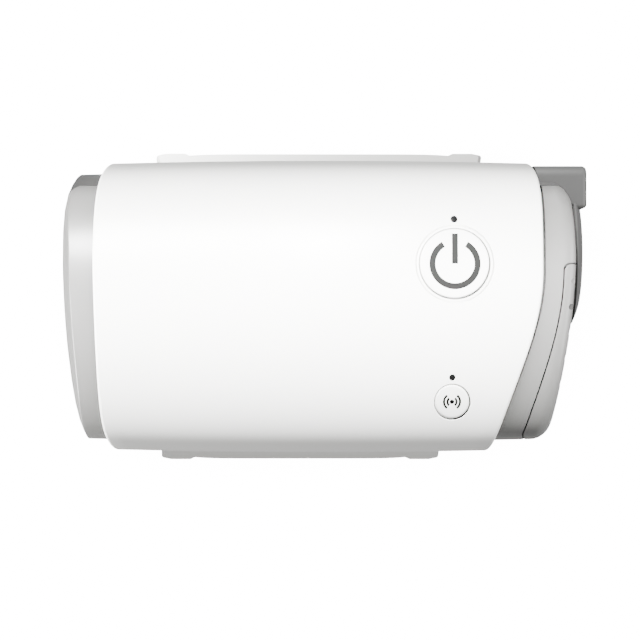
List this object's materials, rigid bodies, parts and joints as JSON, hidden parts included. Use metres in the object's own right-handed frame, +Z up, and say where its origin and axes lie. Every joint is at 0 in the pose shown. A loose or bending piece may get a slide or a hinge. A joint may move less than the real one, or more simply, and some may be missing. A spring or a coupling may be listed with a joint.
{
  "type": "travel cpap machine",
  "caption": "Small travel breathing-therapy machine: white sleeve over a grey housing, press buttons on top, air outlet, power inlet and hinged filter door at one end.",
  "frame": {"origin": "on the ground, under the middle of the machine's bounding box", "axes": "+X towards the end with the air outlet, -Y towards the user's side, +Z up"},
  "size_m": [0.1365, 0.084, 0.0521],
  "materials": {
    "white_plastic": "satin moulded",
    "light_grey_plastic": "fine matte moulded",
    "dark_grey_plastic": "fine matte moulded",
    "black_plastic": "satin moulded",
    "lens": "clear smoked",
    "rubber": "matte",
    "silicone": "soft matte",
    "steel": "plated",
    "copper": "enamelled winding",
    "circuit_board": "solder mask",
    "filter_felt": "felted fibre",
    "foam": "open foam"
  },
  "bodies": {
    "shell": {"outer_sleeve": "white_plastic", "base_plate": "white_plastic", "foot_left": "rubber", "foot_right": "rubber", "base_screw_1": "steel", "base_screw_2": "steel", "base_screw_3": "steel", "base_screw_4": "steel", "front_housing": "light_grey_plastic", "rear_housing": "dark_grey_plastic", "door_hinge_pin": "steel", "housing_screw_1": "steel", "housing_screw_2": "steel", "outlet_collar": "dark_grey_plastic", "outlet_port": "dark_grey_plastic", "port_seal": "silicone", "outlet_duct": "dark_grey_plastic", "power_socket": "black_plastic", "socket_pin": "steel", "filter_frame": "light_grey_plastic", "air_filter": "filter_felt", "inlet_foam": "foam", "volute_lower": "black_plastic", "volute_upper": "black_plastic", "bearing_lower": "steel", "bearing_upper": "steel", "motor_stator": "copper", "motor_cap": "black_plastic", "blower_mount_lower": "silicone", "blower_mount_upper": "silicone", "duct_coupling": "silicone", "main_board": "circuit_board", "board_screw_1": "steel", "board_screw_2": "steel", "board_screw_3": "steel", "board_screw_4": "steel", "processor": "black_plastic", "radio_module": "steel", "motor_connector": "white_plastic", "power_connector": "white_plastic", "pressure_sensor": "black_plastic", "capacitor": "steel", "power_switch": "black_plastic", "wireless_switch": "black_plastic", "power_light_pipe": "lens", "wireless_light_pipe": "lens", "motor_lead": "black_plastic", "power_lead": "black_plastic"},
    "door": {"filter_door": "light_grey_plastic"},
    "power_key": {"power_button": "white_plastic", "power_switch_plunger": "white_plastic"},
    "wireless_key": {"wireless_button": "white_plastic", "wireless_switch_plunger": "white_plastic"},
    "fan": {"impeller": "white_plastic", "motor_shaft": "steel", "motor_rotor": "steel"}
  },
  "joints": [
    {"name": "power_button_press", "type": "slide", "parent": "shell", "child": "power_key", "axis": [0, 0, -1], "range_m": [0, 0.0004], "stiffness_N_per_m": 1500, "springref_m": -0.0004},
    {"name": "wireless_button_press", "type": "slide", "parent": "shell", "child": "wireless_key", "axis": [0, 0, -1], "range_m": [0, 0.0004], "stiffness_N_per_m": 1500, "springref_m": -0.0004},
    {"name": "filter_door_hinge", "type": "hinge", "parent": "shell", "child": "door", "pos_m": [0.05441, -0.03279, 0.028], "axis": [0, 0, -1], "range_deg": [0, 70]},
    {"name": "impeller_spin", "type": "hinge", "parent": "shell", "child": "fan", "pos_m": [-0.0343, -0.002, 0.03], "axis": [0, 0, 1], "continuous": true}
  ]
}
